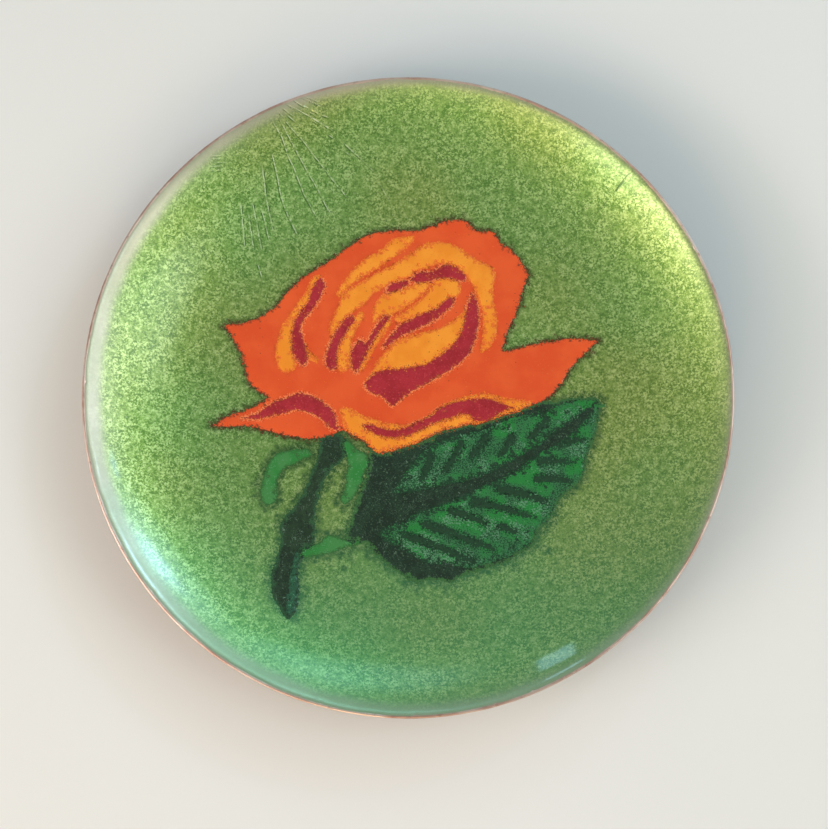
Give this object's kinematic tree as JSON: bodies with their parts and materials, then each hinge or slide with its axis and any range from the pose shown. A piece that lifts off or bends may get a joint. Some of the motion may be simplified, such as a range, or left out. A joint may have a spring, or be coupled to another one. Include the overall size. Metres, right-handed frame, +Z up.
{
  "type": "enamelled copper dish",
  "caption": "Shallow round copper dish with a green enamel ground and a rose with stem and leaf built up in orange, yellow, crimson and green enamel coats.",
  "frame": {"origin": "centre of the flat underside, on the surface the dish stands on", "axes": "+Z up through the open side of the dish; +Y towards the top of the flower, +X to its right"},
  "size_m": [0.152, 0.152, 0.0133],
  "materials": {
    "copper": "bare copper sheet, bright at the cut edge",
    "counter_enamel": "dark fired counter enamel, gloss",
    "green_enamel": "transparent green enamel sifted over bright copper, gloss",
    "orange_enamel": "opaque orange enamel, gloss",
    "yellow_enamel": "opaque yellow enamel, gloss",
    "crimson_enamel": "opaque crimson enamel, gloss",
    "leaf_enamel": "opaque mid green enamel, gloss",
    "sepal_enamel": "opaque green enamel, gloss",
    "dark_enamel": "opaque dark green enamel, gloss",
    "stem_enamel": "opaque blue green enamel, gloss"
  },
  "bodies": {
    "root": {"copper_dish": "copper", "back_counter_enamel": "counter_enamel", "green_ground_enamel": "green_enamel", "bloom_orange_coat": "orange_enamel", "stem_dark": "dark_enamel", "twig_green": "sepal_enamel", "sepal_left": "sepal_enamel", "sepal_right": "sepal_enamel", "leaf_dark_base": "dark_enamel", "yellow_upper_streak": "yellow_enamel", "yellow_outer_petal": "yellow_enamel", "yellow_left_petal": "yellow_enamel", "yellow_left_stroke": "yellow_enamel", "yellow_middle_stroke": "yellow_enamel", "yellow_bud_upper": "yellow_enamel", "yellow_bud_lower": "yellow_enamel", "yellow_hem": "yellow_enamel", "crimson_left_stroke": "crimson_enamel", "crimson_second_stroke": "crimson_enamel", "crimson_forked_stroke": "crimson_enamel", "crimson_bud_arcs": "crimson_enamel", "crimson_bud_stroke": "crimson_enamel", "crimson_crescent": "crimson_enamel", "crimson_low_petal_shadow": "crimson_enamel", "crimson_hem_shadow": "crimson_enamel", "stem_highlight": "stem_enamel", "leaf_upper_half": "leaf_enamel", "leaf_lower_half": "leaf_enamel", "leaf_veins_upper": "dark_enamel", "leaf_veins_lower": "dark_enamel"}
  },
  "joints": []
}
